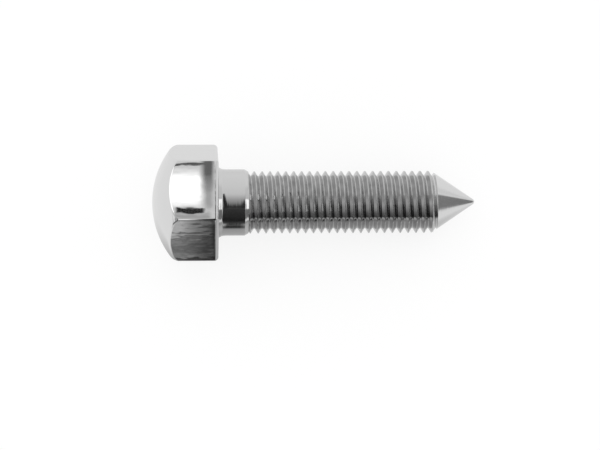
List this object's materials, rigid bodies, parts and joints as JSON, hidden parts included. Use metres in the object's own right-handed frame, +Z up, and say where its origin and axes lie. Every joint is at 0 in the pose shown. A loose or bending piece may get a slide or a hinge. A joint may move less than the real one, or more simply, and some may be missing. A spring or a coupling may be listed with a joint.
{
  "type": "headlight bolt",
  "caption": "Domed hexagon-head bolt with a plain shoulder, a fine thread and a cone point, for fixing a headlight to its bracket.",
  "frame": {"origin": "on the floor under the middle of the bolt's box, as the bolt lies at rest", "axes": "+X along the bolt from the head to the point, which dips 5.5 degrees below level, +Y across the corners of the head, +Z up"},
  "size_m": [0.0398, 0.0148, 0.0133],
  "materials": {
    "bright_plating": "polished bright plating on steel"
  },
  "bodies": {
    "root": {"headlight_bolt": "bright_plating"}
  },
  "joints": []
}
